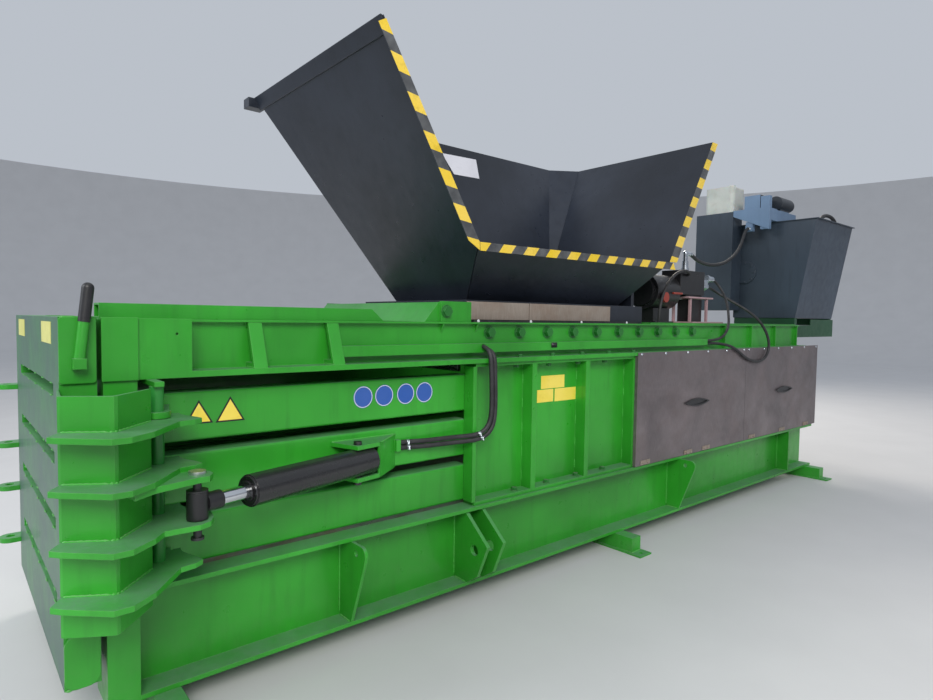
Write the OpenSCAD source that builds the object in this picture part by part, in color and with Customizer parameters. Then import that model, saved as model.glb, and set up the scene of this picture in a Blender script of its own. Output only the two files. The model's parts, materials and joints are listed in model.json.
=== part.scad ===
// Horizontal recycling baler with a side-swinging end gate, a feed hopper and a rear power pack.
// Working axes while modelling: X runs from the gate to the rear, Y from the near side to the far
// side, Z up, with X = 0 on the gate's front face and Y = 0 on the near outer plane. The last
// lines move the whole machine so that the origin is on the floor under the middle cross foot.

/* [Frame] */
// Overall width between the near and the far outer planes of the frame
body_w = 1480; // [1470:5:1490]
// Rear end of the base beams, from the gate's front face
base_end = 6680; // [6660:10:6700]
// Height of the underside of the base beams above the floor
foot_h = 110; // [104:2:116]
// Thickness of the base beam flanges
flange_t = 20; // [16:1:20]
// Wall of the slat and post box sections
tube_t = 8; // [6:1:10]
// Height of one side slat
slat_h = 205; // [200:1:208]

/* [Gate] */
// Thickness of the end gate
gate_t = 118; // [110:1:120]
// Diameter of the gate's hinge pin
hinge_pin_d = 50; // [40:1:50]
// Thickness of the four hinge arms
arm_t = 20; // [16:1:20]
// Radial running clearance of pins and rods in their bores
run_c = 0.06; // [0.04:0.01:0.09]

/* [Gate cylinder] */
// Outside diameter of the gate cylinder's barrel
barrel_d = 130; // [124:1:132]
// Diameter of the gate cylinder's rod
rod_d = 55; // [45:1:56]
// Diameter of the eye pin at the hinge arms
eye_pin_d = 30; // [26:1:30]
// Diameter of the slack bore in the rod eye
eye_bore_d = 52; // [50:1:54]

/* [Press] */
// Outside diameter of the main cylinder's barrel
main_d = 200; // [180:5:220]
// Diameter of the main piston rod
main_rod_d = 110; // [100:5:120]
// Length of the pressing ram
ram_len = 1760; // [1750:5:1770]

/* [Hopper] */
// Thickness of the hopper's steel sheet
sheet_t = 6; // [5:0.5:8]
// Height of the hopper's upper edge
hopper_top = 3035; // [3000:5:3045]
// Width of the warning tape on the hopper's near edges
tape_w = 52; // [46:1:56]

/* [Power pack] */
// Wall of the oil tank
tank_t = 5; // [4:0.5:8]
// Outside diameter of the large hydraulic hoses
hose_d = 32; // [28:1:34]

/* [Hidden] */
$fn = 48;
x0 = 3325;                  // middle cross foot
y0 = body_w / 2;
flz = foot_h + flange_t;    // top of the bottom flange
base_top = 545;             // top of the base beams
web_y = 112;                // outer face of the base web
slat_y = 100;               // outer face of the slats
slat_z = [565, 825, 1080];  // lower edges of the slats
chamber = [210, body_w - 210];
px = 297; py = -75;         // gate hinge pin
ex = 390; ey = -240;        // eye pin, gate shut
tx = 1188; ty = -22;        // trunnion of the gate cylinder
cz = 910;                   // height of the gate cylinder's axis
arm_z = [1194, 1023, 834, 652];
green = [0.13, 0.62, 0.16];
black = [0.06, 0.065, 0.075];
bare = [0.42, 0.37, 0.36];
yellow = [0.95, 0.80, 0.10];

// ---- helpers
module box3(xa, xb, ya, yb, za, zb) { translate([xa, ya, za]) cube([xb - xa, yb - ya, zb - za]); }
// outline in Y and Z, carried along X
module yz(xa, xb, p) { translate([xa, 0, 0]) rotate([90, 0, 90]) linear_extrude(xb - xa) polygon(p); }
// outline in X and Z, carried along Y
module xz(ya, yb, p) { translate([0, yb, 0]) rotate([90, 0, 0]) linear_extrude(yb - ya) polygon(p); }
// outline in X and Y, carried up Z
module xy(za, zb, p) { translate([0, 0, za]) linear_extrude(zb - za) polygon(p); }
module far() { translate([0, body_w, 0]) mirror([0, 1, 0]) children(); }
module both() { children(); far() children(); }
module rod_z(x, y, za, zb, d) { translate([x, y, za]) cylinder(d = d, h = zb - za); }
module rod_y(x, ya, yb, z, d, f = 48) { translate([x, ya, z]) rotate([-90, 0, 0]) cylinder(d = d, h = yb - ya, $fn = f); }
module rod_x(xa, xb, y, z, d, f = 48) { translate([xa, y, z]) rotate([0, 90, 0]) cylinder(d = d, h = xb - xa, $fn = f); }
// box section along X with rounded corners and an open bore
module rtube_x(xa, xb, ya, yb, za, zb, t, r) {
    difference() {
        translate([xa, 0, 0]) rotate([90, 0, 90]) linear_extrude(xb - xa) rrect(ya, yb, za, zb, r);
        box3(xa - 1, xb + 1, ya + t, yb - t, za + t, zb - t);
    }
}
module tube_y(xa, xb, ya, yb, za, zb, t) { difference() { box3(xa, xb, ya, yb, za, zb); box3(xa + t, xb - t, ya - 1, yb + 1, za + t, zb - t); } }
module tube_z(xa, xb, ya, yb, za, zb, t) { difference() { box3(xa, xb, ya, yb, za, zb); box3(xa + t, xb - t, ya + t, yb - t, za - 1, zb + 1); } }
module rrect(a, b, c, d, r) {
    translate([a + r, c]) square([b - a - 2 * r, d - c]);
    translate([a, c + r]) square([b - a, d - c - 2 * r]);
    for (i = [a + r, b - r], j = [c + r, d - r]) translate([i, j]) circle(r = r);
}
function unit(v) = v / norm(v);
function euler(u, v, n) = [atan2(v[2], n[2]), -asin(u[2]), atan2(u[1], u[0])];
// flat plate through the corners p, thickened on the side the corner order turns towards
module plate(p, t) {
    u = unit(p[1] - p[0]);
    n = unit(cross(u, p[2] - p[0]));
    v = cross(n, u);
    translate(p[0]) rotate(euler(u, v, n)) linear_extrude(t) polygon([for (q = p) [(q - p[0]) * u, (q - p[0]) * v]]);
}
// hexagon head with a washer, pointing along -Y from the face at y
module bolt_y(x, y, z, af) {
    rod_y(x, y - 3, y, z, af * 1.55);
    rod_y(x, y - 3 - af * 0.55, y - 3, z, af / cos(30), 6);
}
module bolt_z(x, y, z, af) {
    translate([x, y, z]) cylinder(d = af * 1.45, h = 2.5);
    translate([x, y, z + 2.5]) cylinder(d = af / cos(30), h = af * 0.6, $fn = 6);
}
// round hose through the points p, each ring square to the route
module hose(p, d, s = 10) {
    n = len(p);
    tan = [for (i = [0:n - 1]) unit(i == 0 ? p[1] - p[0] : i == n - 1 ? p[n - 1] - p[n - 2] : unit(p[i + 1] - p[i]) + unit(p[i] - p[i - 1]))];
    side = hose_sides(tan);
    pts = [for (i = [0:n - 1], k = [0:s - 1]) p[i] + d / 2 * (cos(360 * k / s) * side[i] + sin(360 * k / s) * cross(tan[i], side[i]))];
    polyhedron(points = pts, faces = concat([[for (k = [0:s - 1]) k]],
        [for (i = [0:n - 2], k = [0:s - 1]) each [[i * s + k, (i + 1) * s + k, (i + 1) * s + (k + 1) % s], [i * s + k, (i + 1) * s + (k + 1) % s, i * s + (k + 1) % s]]],
        [[for (k = [s - 1:-1:0]) (n - 1) * s + k]]));
}
// the side direction carried from ring to ring without twist
function hose_start(t) = unit(cross(t, abs(t[2]) > 0.9 ? [0, 1, 0] : [0, 0, 1]));
function hose_sides(tan, i = 0, acc = []) = i == len(tan) ? acc :
    let (s = i == 0 ? hose_start(tan[0]) : unit(acc[i - 1] - (acc[i - 1] * tan[i]) * tan[i])) hose_sides(tan, i + 1, concat(acc, [s]));

// ---- base
module base_beams() {
    color(green) both() yz(250, base_end, [[0, foot_h], [224, foot_h], [224, flz], [web_y + 12, flz], [web_y + 12, base_top - flange_t],
        [224, base_top - flange_t], [224, base_top], [0, base_top], [0, base_top - flange_t], [web_y, base_top - flange_t], [web_y, flz], [0, flz]]);
}
module stiffener(x, tip) {
    difference() {
        union() {
            yz(x, x + 16, [[web_y, flz], [web_y, 525], [tip + 40, 525], [tip, 485], [tip + 6, 455], [0, flz]]);
            translate([x, tip + 40, 485]) rotate([0, 90, 0]) cylinder(r = 40, h = 16);
        }
        rod_x(x - 1, x + 17, tip + 82, 482, 30);
    }
}
module base_plates() {
    color(green) both() {
        for (x = [1168, 4100]) stiffener(x, -128);
        box3(6122, 6138, 0, web_y, flz, base_top - flange_t);
        for (x = [1900, 2019]) difference() {
            yz(x, x + 22, [[web_y, flz], [web_y, 525], [15, 525], [-168, 373], [-86, 185], [0, flz]]);
            rod_x(x - 1, x + 23, -63, 330, 60);
        }
    }
}
module cross_feet() {
    color(green) for (x = [345, x0, 6605]) {
        tube_y(x - 50, x + 50, -135, body_w + 135, 12, foot_h, 6);
        difference() { box3(x - 65, x + 65, -220, body_w + 220, 0, 12); both() rod_z(x, -180, -1, 13, 26); }
        both() box3(x - 50, x + 50, -141, -135, 12, foot_h);
    }
}
module end_posts() {
    color(green) both() {
        tube_z(137, 250, 0, 200, foot_h, 1574, tube_t + 2);
        box3(131, 252, -13, 0, 1353, 1588);
        box3(137, 250, 0, 200, 1574, 1582);
    }
}
module chamber_floor() {
    color(bare) xy(base_top, base_top + 20, [[250, 116], [1968, 116], [1968, 170], [base_end, 170], [base_end, body_w - 170], [1968, body_w - 170], [1968, body_w - 116], [250, body_w - 116]]);
}

// ---- sides
module side_slats() {
    color(green) {
        both() for (z = slat_z) rtube_x(250, 1968, slat_y, slat_y + 110, z, z + slat_h, tube_t, 12);
        // the far side is closed by flat strips between its slats
        far() for (g = [[767, 828], [1027, 1083], [1282, 1352]]) box3(252, 1966, slat_y + 60, slat_y + 66, g[0], g[1]);
    }
}
module side_panels() {
    color(green) both() {
        box3(1968, base_end, 104, 124, base_top + 20, 1333);
        box3(1968, base_end, 20, 170, base_top, base_top + 20);
        box3(1968, base_end, 20, 170, 1333, 1353);
        // first rib stands in front of the slats
        box3(1950, 1976, 20, 98, base_top + 20, 1333);
        box3(1968.3, 1976, 97, 105, base_top + 20, 1333);
        for (x = [2426, 2938, 3473, 4500, 5500, 6450]) difference() {
            box3(x, x + 40, 20, 104, base_top + 20, 1333);
            box3(x + 6, x + 34, 26, 105, base_top + 19, 1334);
        }
        box3(1980, 6450, 124, 208, 900, 960);
    }
}
module frame_bolts() {
    color([0.10, 0.50, 0.14]) both() {
        for (i = [0:9]) bolt_y(2132 + 250 * i, 100, 1524, 52);
        for (i = [0:4]) {
            if (i < 4) bolt_z(2326 + 288 * i, 62, base_top + 20, 30);
            if (i < 4) translate([2326 + 288 * i, 62, 1333]) mirror([0, 0, 1]) bolt_z(0, 0, 0, 30);
            bolt_z(2326 + 288 * i, 30, 1378, 24);
            translate([2290 + 288 * i, 60, 525]) mirror([0, 0, 1]) bolt_z(0, 0, 0, 30);
        }
        rod_y(1804, 84, 90, 1640, 70);
        rod_y(1804, 66, 84, 1640, 60, 6);
    }
}

// ---- top rails and roof
module top_rails() {
    color(green) both() {
        difference() {
            yz(250, 6450, [[0, 1353], [170, 1353], [170, 1378], [112, 1378], [112, 1572], [170, 1572], [170, 1582], [70, 1582], [70, 1572], [100, 1572], [100, 1378], [0, 1378]]);
        }
        for (x = [700, 1074]) yz(x, x + 60, [[2, 1378], [100, 1378], [100, 1400], [30, 1400], [86, 1550], [100, 1550], [100, 1572], [72, 1572]]);
        difference() { box3(252, 448, 0, 12, 1378, 1585); rod_y(392, -1, 13, 1526, 10); }
        box3(252, 448, 12, 70, 1573, 1582);
        for (x = [1772, 2022]) yz(x, x + 8, [[72, 1572], [100, 1572], [100, 1520]]);
        for (x = [4900, 5400, 5900, 6400]) box3(x, x + 10, 72, 100, 1378, 1572);
    }
}
module roof_plates() {
    color(green) {
        box3(250, 2014, 170, body_w - 170, 1353, 1378);
        box3(3812, 6450, 170, body_w - 170, 1353, 1378);
        box3(3812, 6450, 112, body_w - 112, 1582, 1592);
    }
}
module roof_beams() {
    color(green) {
        for (x = [500, 950, 1400]) tube_y(x, x + 100, 112, body_w - 112, 1378, 1572, 8);
        difference() {
            xz(104, 204, [[145, 1582], [1410, 1582], [1340, 1642], [145, 1642]]);
            xz(112, 196, [[100, 1590], [1385, 1590], [1334, 1634], [100, 1634]]);
        }
        for (x = [4200, 5000, 5800]) tube_y(x, x + 100, 112, body_w - 112, 1378, 1572, 8);
    }
}
module knife_beam() {
    color(green) {
        difference() {
            xz(104, body_w - 104, [[1668, 1582], [1762, 1690], [1980, 1690], [1980, 1582]]);
            xz(120, body_w - 120, [[1695, 1592], [1768, 1680], [1970, 1680], [1970, 1592]]);
            rod_z(1900, 740, 1680, 1691, 30);
        }
        both() difference() {
            union() { box3(1768, 1986, 90, 104, 1582, 1695); }
        }
        far() yz(1560, 1668, [[104, 1582], [204, 1582], [204, 1640], [104, 1600]]);
    }
}
module shear_knife() { color([0.35, 0.36, 0.38]) box3(1990, 2014, chamber[0] + 2, chamber[1] - 2, 1293, 1353); }
module cable_duct() {
    color(green) difference() {
        box3(1139, 4560, 50, 100, 1410, 1462);
        box3(1130, 4570, 53, 97, 1413, 1459);
        rod_y(2046, 40, 60, 1444, 27);
        rod_y(2074, 40, 60, 1428, 27);
    }
}

// ---- hopper
hl = 0.6146; hr = 0.579; hb = 0.352;
function lx(z) = 1331 + (3020 - z) * hl;    // left wall
function rx(z) = 3847 + (z - 2045) * hr;    // right wall
function by(z) = 1050 + (z - 1715) * hb;    // back wall
zt = hopper_top; zb = 1717;
fa = [rx(1970), by(1970), 1970];            // foot of the corner facet
fl = [4183, by(zt), zt];
fr = [rx(zt), 1350, zt];
fd = 6 * unit(fl - fr);                     // the facet runs this far past its fold
// foot of the near panel on the right wall, in one plane with its other corners
pa = [lx(2016), -8, 2016]; pd = [rx(2036) - 1, -8, 2036];
pn = cross([lx(zb), 300, zb] - pa, pd - pa);
yc = -8 - (pn[0] * (rx(zb) - 1 - pa[0]) + pn[2] * (zb - 2016)) / pn[1];
// the narrow folded edges that carry the warning tape
tw = tape_w;
edge_left = [[lx(3020) + 3, 3020], [lx(2994) - tw * 1.08, 2994], [lx(2022) - tw * 1.45, 2022], [1951, 2022 - tw * 0.88], [lx(2022) + 3, 2022]];
edge_lip = [[1952, 2022], [3893, 2042], [3923, 2042 - tw * 0.98], [1955, 2021 - tw * 0.88]];
edge_right = [[rx(zt - 2) - 3, zt - 2], [rx(zt - 2) + tw * 1.42, zt - 2], [rx(2052) + tw * 1.8, 2052], [rx(2052) + tw * 1.5, 2046], [rx(2046) - 3, 2046]];
module hopper_left_wall() {
    color(black) { plate([[lx(zt), -12, zt], [lx(zt), by(zt), zt], [lx(zb), by(zb), zb], [lx(zb), 300, zb], [lx(2016), -8, 2016], [lx(2026), -12, 2026]], sheet_t); xz(-15, -9, edge_left); }
}
module hopper_right_wall() {
    color(black) { plate([[rx(zt), -12, zt], [rx(2050), -12, 2050], [rx(2043), -8, 2043], [rx(2036), -8, 2036], [rx(zb), yc, zb], [rx(zb), by(zb), zb], fa, fr], sheet_t); xz(-15, -9, edge_right); }
}
module hopper_back_wall() {
    color(black) {
        plate([[lx(zt), by(zt), zt], fl, fa, [rx(zb), by(zb), zb], [lx(zb), by(zb), zb]], sheet_t);
        plate([fl + fd, fr, fa, fa + fd], sheet_t);
    }
}
module hopper_front_panel() {
    color(black) {
        plate([pa, [lx(zb), 300, zb], [rx(zb) - 1, yc, zb], pd], sheet_t);
        xz(-15, -9, edge_lip);
    }
}
module hopper_rim() {
    // stiffening strips on the outside of the left and back walls, with a short end past the corner
    color(black) {
        xz(-8.8, by(zt) + 16, [[lx(zt) - 7.3, zt], [lx(zt) - 17, zt], [lx(2965) - 17, 2965], [lx(2965) - 7.3, 2965]]);
        box3(lx(zt) - 54, lx(zt) + 56, by(zt) + 7, by(zt) + 91, zt - 60, zt);
        box3(lx(zt) + 60, 4170, by(zt) + 7, by(zt) + 16, zt - 70, zt);
    }
}
module throat_collar() {
    color(black) box3(3766, 3800, 260, 1200, 1712, 1836);
    color(black) difference() {
        box3(2026, 3800, 184, body_w - 184, 1353, 1712);
        box3(2038, 3788, 196, body_w - 196, 1352, 1700);
        box3(lx(zb) + 4, rx(zb) - 4, yc + 6, by(zb) - 4, 1690, 1714);
    }
}
module throat_strips() {
    color(bare) for (s = [[2030, 2541], [2547, 3385]]) box3(s[0], s[1], 172, 184, 1597, 1703);
}
module throat_seal() { color([0.05, 0.05, 0.05]) both() box3(2026, 3640, 112, 172, 1582, 1594); }
module hazard_tape() {
    // flat strips on the narrow near edges: left slope, lip, right slope
    color(yellow) for (e = [edge_left, edge_lip, edge_right]) xz(-16.5, -15, e);
}

// ---- blank plates and signs
module tri_plate(xc, z, a) { xz(slat_y - 1.5, slat_y, [[xc - a / 2, z], [xc + a / 2, z], [xc, z + a * 0.866]]); }
module yellow_plates() {
    color(yellow) {
        tri_plate(502, 1148, 115);
        tri_plate(632, 1146, 125);
        for (r = [[2593, 2817, 1161, 1244], [2558, 2710, 1075, 1156], [2724, 2934, 1073, 1156]]) box3(r[0], r[1], 102.5, 104, r[2], r[3]);
    }
}
module gate_plates() { color([0.86, 0.85, 0.35]) { box3(-1.5, 0, 1070, 1330, 1487, 1568); box3(-1.5, 0, 172, 435, 1486, 1568); } }
module safety_discs() { color([0.10, 0.33, 0.75]) for (x = [1289, 1413, 1546, 1668]) rod_y(x, slat_y - 1.5, slat_y, 1203, 110); }
module hopper_sign() {
    function bp(x, z) = [x, by(z) - 0.5, z];
    color([0.92, 0.92, 0.94]) plate([bp(2850, 2950), bp(2935, 2783), bp(3213, 2790), bp(3225, 2963)], 1.5);
}

// ---- rear covers
module cover(xa, xb) {
    color(bare) difference() {
        union() { box3(xa, xb, -5, -2, base_top + 4, 1376); box3(xa, xb, -2, 20, base_top + 4, 1352); }
        box3(xa + 3, xb - 3, -2, 21, base_top + 7, 1349);
    }
}
module rear_covers() { both() { cover(3490, 5140); cover(5144, 6745); } }
// flat oval with pointed ends
function lens(x, z, a, b) = [for (i = [-12:11]) [x + a * i / 12, z + b * (1 - i * i / 144)], for (i = [12:-1:-11]) [x + a * i / 12, z - b * (1 - i * i / 144)]];
module cover_handles() {
    color([0.04, 0.04, 0.045]) both() for (x = [4308, 5935]) difference() {
        xz(-21, -5, lens(x, 961, 188, 30));
        xz(-22, -12, lens(x, 961, 150, 19));
    }
}

// ---- rear frame and power pack
module rear_frame() {
    color([0.09, 0.30, 0.15]) {
        both() {
            difference() { box3(6455, 7753, 208, 288, 1452, 1574); box3(6454, 7754, 216, 289, 1460, 1566); }
            box3(6455, 6480, 170, 290, 1353, 1452);
            tube_z(6485, 6585, 170, 226, base_top + 20, 1353, 6);
        }
        for (x = [6700, 7660]) tube_y(x, x + 80, 288, body_w - 288, 1462, 1564, 6);
    }
    color([0.62, 0.50, 0.50]) {
        both() box3(6660, 7753, 208, 288, 1574, 1582);
        box3(7100, 7753, 208, 216, 1582, 1648);
        for (x = [6690, 7650]) box3(x, x + 60, 216, 880, 1582, 1660);
    }
}
module oil_tank() {
    color([0.17, 0.19, 0.22]) difference() {
        yz(6680, 7705, [[208, 1660], [28, 2700], [890, 2700], [890, 1660]]);
        yz(6680 + tank_t, 7705 - tank_t, [[208 + tank_t, 1660 + tank_t], [28 + tank_t, 2701], [890 - tank_t, 2701], [890 - tank_t, 1660 + tank_t]]);
        rod_x(6670, 6690, 766, 2170, 170);
    }
    color([0.12, 0.13, 0.15]) difference() {
        box3(6440, 6656, 812, 1244, 1740, 2830);
        box3(6444, 6652, 816, 1240, 1744, 2826);
    }
}
module tank_covers() {
    color([0.15, 0.17, 0.20]) {
        box3(6664, 7725, 8, 906, 2700, 2708);
        rod_x(6666, 6680, 766, 2170, 250);
        for (a = [0:45:315]) rod_x(6658, 6666, 766 + 105 * cos(a), 2170 + 105 * sin(a), 22, 6);
    }
}
module pump_unit() {
    color([0.36, 0.43, 0.52]) {
        // bracket with a slanted lower edge, column, and the shelf on the lid
        yz(6440, 6448, [[412, 2600], [412, 2838], [808, 2838], [808, 2772]]);
        box3(6448, 6662, 430, 808, 2830, 2838);
        box3(6448, 6500, 417, 510, 2610, 2960);
        box3(6440, 6448, 417, 510, 2838, 2960);
        box3(6448, 6500, 592, 668, 2598, 2700);
        box3(6440, 6448, 592, 668, 2598, 2660);
        box3(6500, 7150, 430, 510, 2709, 2829.5);
        box3(6664, 7100, 510, 560, 2709, 2829.5);
        box3(6448, 6640, 520, 690, 2838, 2980);
    }
    color([0.30, 0.35, 0.42]) {
        rod_x(6760, 7060, 495, 2925, 150);
        rod_x(7060, 7100, 495, 2925, 132);
        box3(6800, 7020, 455, 535, 2829.5, 2862);
    }
}
module plastic_tank() {
    color([0.80, 0.82, 0.80]) intersection() {
        translate([0, 0, 2830]) linear_extrude(290) rrect(6446, 6716, 815, 1152, 45);
        translate([6446, 0, 0]) rotate([90, 0, 90]) linear_extrude(270) rrect(815, 1152, 2830, 3120, 30);
    }
    color([0.05, 0.05, 0.05]) rod_z(6580, 900, 3120, 3150, 70);
}
module valve_stand() {
    color([0.60, 0.47, 0.49]) {
        box3(4542, 5062, 180, 520, 1592, 1604);
        box3(4590, 5005, 250, 450, 1806, 1820);
    }
    color([0.10, 0.10, 0.11]) for (x = [4640, 4916], y = [262, 418]) tube_z(x, x + 20, y, y + 20, 1604, 1806, 3);
}
module valve_block() {
    color(black) {
        box3(4468, 4860, 260, 440, 1836, 2040);
        box3(4590, 4860, 280, 420, 1820, 1836);
        rod_x(4130, 4468, 400, 1850, 290);
        rod_x(4100, 4130, 400, 1850, 230);
        box3(4180, 4420, 330, 470, 1604, 1712);
        box3(4680, 4896, 300, 410, 1604, 1800);
        box3(4160, 4440, 300, 500, 1592, 1604);
    }
}
module valve_fittings() {
    color([0.55, 0.60, 0.66]) {
        rod_x(4860, 4876, 345, 1940, 170);
        rod_x(4876, 4960, 345, 1940, 150, 6);
        for (a = [45:90:315]) rod_x(4876, 4888, 345 + 72 * cos(a), 1940 + 72 * sin(a), 20, 6);
        rod_x(4960, 4990, 300, 1990, 66);
        rod_x(4990, 5060, 300, 1990, 52);
        rod_x(4960, 5030, 380, 1930, 70);
        rod_x(5030, 5110, 380, 1930, 58, 6);
        rod_z(4650, 330, 2040, 2070, 66);
        rod_z(4650, 330, 2070, 2130, 54);
        rod_z(4650, 330, 2130, 2196, 40);
        translate([4650, 330, 2196]) sphere(d = 46);
        rod_x(4650, 4720, 330, 2196, 38);
    }
    color([0.70, 0.30, 0.28]) { rod_y(4215, 232, 254, 1800, 84); rod_x(4330, 4468, 244, 1838, 18); }
}
module main_cylinder() {
    color([0.12, 0.13, 0.15]) {
        difference() {
            rod_x(4440, 6560, y0, 950, main_d);
            rod_x(4500, 6500, y0, 950, main_d - 40);
            rod_x(4439, 4501, y0, 950, main_rod_d + 2 * run_c);
        }
        difference() {
            box3(6560, 6660, y0 - 60, y0 + 60, 860, 1040);
            rod_y(6620, y0 - 70, y0 + 70, 950, 80);
        }
        rod_y(6620, y0 - 130, y0 + 130, 950, 80);
        both() difference() { box3(6570, 6672, y0 - 100, y0 - 66, 565, 1060); rod_y(6620, y0 - 110, y0 - 60, 950, 80); }
    }
}

// ---- hinge, arms and gate
arm_out = [[0, 0], [-26, -206], [-69, -275], [-39, -313], [82, -425], [140, -422], [221, -358], [344, -197], [400, -186], [432, -164],
    [425, -128], [404, -70], [395, -22], [400, 13], [344, 12], [250, -8], [124, -8], [118, 0]];
lug_up = [[150, -400], [227, -345], [378, -300], [416, -300], [440, -262], [440, -225], [420, -195], [387, -166], [290, -140], [270, -146], [136, -298]];
lug_lo = [[212, -303], [380, -310], [424, -287], [448, -240], [461, -170], [425, -128], [330, -120]];
col_out = [[-32, -206], [-26, -214], [100, -292], [114, -298], [126, -292], [262, -140], [254, -132], [124, -274], [112, -283], [-20, -201], [0, 0], [-6, 0]];
module arm(z, extra) {
    difference() {
        union() { xy(z, z + arm_t, arm_out); if (extra) xy(z, z + arm_t, lug_lo); }
        rod_z(px, py, z - 1, z + arm_t + 1, hinge_pin_d + 2 * run_c);
        if (extra) rod_z(ex, ey, z - 1, z + arm_t + 1, eye_pin_d);
    }
}
module hinge_arms() {
    color(green) {
        for (i = [0:3]) arm(arm_z[i], i == 2);
        difference() { xy(1001, 1023, lug_up); rod_z(ex, ey, 1000, 1024, eye_pin_d); }
    }
}
module hinge_column() {
    color(green) for (s = [[533, 652], [652 + arm_t, 834], [834 + arm_t, 1023], [1023 + arm_t, 1194], [1194 + arm_t, 1332]]) xy(s[0], s[1], col_out);
}
module hinge_pin() { color([0.25, 0.55, 0.25]) { rod_z(px, py, 620, 1334, hinge_pin_d); rod_z(px, py, 608, 620, 70); } }
module hinge_brackets() {
    color(green) {
        difference() {
            union() {
                for (z = [1216, 626]) {
                    xy(z, z + 24, [[px - 42, py], [px + 42, py], [px + 90, slat_y], [px - 30, slat_y]]);
                    rod_z(px, py, z, z + 24, 96);
                }
                box3(px - 17, px + 17, py - 42, slat_y, 1334, 1353);
            }
            rod_z(px, py, 600, 1334, hinge_pin_d);
        }
        // trunnion bracket of the gate cylinder
        difference() {
            union() {
                for (z = [977, 823]) xy(z, z + 20, [[1110, slat_y], [1166, -62], [1305, -33], [1483, slat_y]]);
                xy(843, 977, [[1308, -33 + 2], [1483, slat_y], [1462, slat_y], [1300, -20]]);
            }
            rod_z(tx, ty, 800, 1000, 40 + 2 * run_c);
        }
        box3(1474, 1500, 72, slat_y, 908, 968);
    }
}
module gate_frame() {
    gz = [[238, 508], [554, 793], [839, 1042], [1088, 1295], [1341, 1587]];
    color(green) difference() {
        union() {
            for (g = gz) box3(0, gate_t, 136, body_w - 205, g[0], g[1]);
            box3(0, gate_t, 0, 136, 238, 1587);
            box3(0, gate_t, body_w - 205, body_w, 238, 1587);
        }
        for (g = gz) box3(8, gate_t - 8, 128, body_w - 197, g[0] + 8, g[1] - 8);
        box3(8, gate_t - 8, 8, 128, 246, 1579);
        box3(8, gate_t - 8, body_w - 197, body_w - 8, 246, 1579);
        for (y = [70, body_w - 100]) rod_z(gate_t / 2, y, 237, 247, 24);
    }
}
module gate_side_plates() {
    color(green) {
        translate([0, 0, 0]) rotate([90, 0, 0]) linear_extrude(12) rrect(0, gate_t - 4, 1351, 1587, 12);
        difference() {
            rotate([90, 0, 0]) linear_extrude(12) rrect(0, gate_t - 4, 240, 440, 40);
        }
    }
}
module gate_lock_plates() {
    color(green) translate([0, body_w, 0]) for (z = [375, 655, 885, 1195]) difference() {
        union() {
            xy(z, z + 25, [[gate_t, 0], [gate_t, 78], [-45, 78], [-45, -22], [0, -22], [0, 0]]);
            rod_z(-42, 28, z, z + 25, 100);
        }
        rod_z(-42, 28, z - 1, z + 26, 40);
    }
}
module lever_tube() {
    color(green) {
        hull_rod([58, -36, 1433], [74, -36, 1571], 36);
        // pivot block on the end plate
        box3(37, 78, -57, -12, 1404, 1442);
    }
}
module lever_grip() { color([0.05, 0.05, 0.055]) { hull_rod([74, -36, 1571], [87.8, -36, 1690], 40); translate([87.8, -36, 1690]) sphere(d = 40); } }
module hull_rod(a, b, d) {
    v = b - a;
    translate(a) rotate([0, acos(v[2] / norm(v)), atan2(v[1], v[0])]) cylinder(d = d, h = norm(v));
}
module eye_pin() {
    color([0.72, 0.73, 0.75]) {
        rod_z(ex, ey, 790, 1023, eye_pin_d);
        rod_z(ex, ey, 1023, 1034, 62);
        rod_z(ex, ey, 780, 790, 46);
        rod_z(ex, ey, 959, 964, 76);
    }
}

// ---- gate cylinder, drawn along +X from the eye and turned onto its line
ca = atan2(ty - ey, tx - ex);
cl = norm([tx - ex, ty - ey]);
module along() { translate([ex, ey, cz]) rotate([0, 0, ca]) children(); }
module gate_barrel() {
    color([0.03, 0.03, 0.035]) {
        along() {
            difference() {
                rod_x(223, 912, 0, 0, barrel_d);
                rod_x(240, 890, 0, 0, barrel_d - 30);
                rod_x(222, 241, 0, 0, 84);
            }
            difference() { rod_x(214, 223, 0, 0, barrel_d - 10); rod_x(213, 224, 0, 0, 84); }
        }
        rod_z(tx, ty, cz + barrel_d / 2 - 1.5, 1012, 40);
        rod_z(tx, ty, 806, cz - barrel_d / 2 + 1.5, 40);
    }
}
module gate_gland() {
    color([0.5, 0.5, 0.52]) along() difference() {
        union() { rod_x(206, 300, 0, 0, 84); rod_x(240, 300, 0, 0, barrel_d - 30); }
        rod_x(205, 301, 0, 0, rod_d + 2 * run_c);
    }
}
module gate_rod() {
    color([0.80, 0.81, 0.83]) along() {
        rod_x(92, 330, 0, 0, rod_d);
        rod_x(330, 380, 0, 0, barrel_d - 30 - 2 * run_c);
    }
    color([0.06, 0.06, 0.07]) difference() {
        union() {
            rod_z(ex, ey, 857, 958, 76);
            along() rod_x(30, 92, 0, 0, 70);
        }
        rod_z(ex, ey, 850, 960, eye_bore_d);
    }
}

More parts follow.
